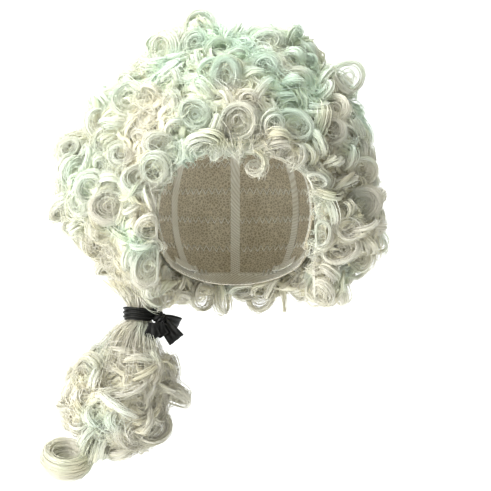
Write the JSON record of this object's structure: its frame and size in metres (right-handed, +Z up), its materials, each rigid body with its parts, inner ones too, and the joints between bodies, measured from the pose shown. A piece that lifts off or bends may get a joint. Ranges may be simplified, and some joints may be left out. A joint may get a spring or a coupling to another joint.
{
  "type": "costume wig",
  "caption": "Powdered-style costume wig of tight ring curls on a stretch weft cap, with a low side ponytail tied in ribbon.",
  "frame": {"origin": "centre of the head opening, in the middle of the cap, level with the brow", "axes": "+X towards the wearer's left, -Y the way the face looks, +Z up over the crown"},
  "size_m": [0.3124, 0.2706, 0.4185],
  "materials": {
    "hair": "glossy synthetic fibre, ivory",
    "net": "open stretch net",
    "cap_cloth": "matt woven lining",
    "elastic": "matt knitted elastic",
    "weft_tape": "sewn tape",
    "hook_plastic": "matt moulded",
    "hair_tie": "knitted elastic cord",
    "satin_ribbon": "satin"
  },
  "bodies": {
    "cap_and_curls": {"cap_net": "net", "crown_patch": "cap_cloth", "front_band": "cap_cloth", "ear_tab_left": "cap_cloth", "ear_tab_right": "cap_cloth", "nape_band": "elastic", "cap_strip_front": "elastic", "cap_strip_back": "elastic", "cap_strip_left": "elastic", "cap_strip_right": "elastic", "cap_strip_back_left": "elastic", "cap_strip_back_right": "elastic", "hook_loops_left": "elastic", "hook_loops_right": "elastic", "top_weft_track": "weft_tape", "upper_weft_track": "weft_tape", "brow_weft_track": "weft_tape", "temple_weft_track": "weft_tape", "ear_weft_track": "weft_tape", "nape_weft_track": "weft_tape", "crown_curls": "hair", "top_curls": "hair", "upper_curls": "hair", "brow_curls": "hair", "temple_curls": "hair", "ear_curls": "hair", "nape_curls": "hair", "gathered_hair": "hair"},
    "tied_neck": {"hair_tie": "hair_tie", "ponytail_neck": "hair", "ribbon_wrap": "satin_ribbon", "ribbon_knot": "satin_ribbon", "bow_loop_front": "satin_ribbon", "bow_loop_back": "satin_ribbon"},
    "ponytail": {"ponytail_curls": "hair"},
    "end_curl": {"ponytail_end_curl": "hair"},
    "short_tail": {"ribbon_tail_short": "satin_ribbon"},
    "long_tail": {"ribbon_tail_long": "satin_ribbon"},
    "left_adjuster": {"adjuster_strap_left": "elastic", "adjuster_hook_left": "hook_plastic"},
    "right_adjuster": {"adjuster_strap_right": "elastic", "adjuster_hook_right": "hook_plastic"}
  },
  "joints": [
    {"name": "ponytail_side_swing", "type": "hinge", "parent": "cap_and_curls", "child": "tied_neck", "pos_m": [-0.086, -0.012, -0.104], "axis": [0, 1, 0], "range_deg": [-12, 22]},
    {"name": "ponytail_fore_aft_swing", "type": "hinge", "parent": "tied_neck", "child": "ponytail", "pos_m": [-0.089, -0.016, -0.118], "axis": [1, 0, 0], "range_deg": [-10, 25]},
    {"name": "end_curl_swing", "type": "hinge", "parent": "ponytail", "child": "end_curl", "pos_m": [-0.131, -0.04, -0.212], "axis": [0, 1, 0], "range_deg": [-15, 20]},
    {"name": "short_tail_swing", "type": "hinge", "parent": "tied_neck", "child": "short_tail", "pos_m": [-0.067, -0.029, -0.1145], "axis": [0, 1, 0], "range_deg": [-12, 25]},
    {"name": "long_tail_swing", "type": "hinge", "parent": "tied_neck", "child": "long_tail", "pos_m": [-0.074, -0.0315, -0.1145], "axis": [0, 1, 0], "range_deg": [-25, 12]},
    {"name": "left_adjuster_slide", "type": "hinge", "parent": "cap_and_curls", "child": "left_adjuster", "pos_m": [-0.00588, 0.01357, -0.01392], "axis": [0.2572, 0.652, 0.7133], "range_deg": [0, 8]},
    {"name": "right_adjuster_slide", "type": "hinge", "parent": "cap_and_curls", "child": "right_adjuster", "pos_m": [0.00588, 0.01357, -0.01392], "axis": [0.2572, -0.652, -0.7133], "range_deg": [0, 8]}
  ]
}
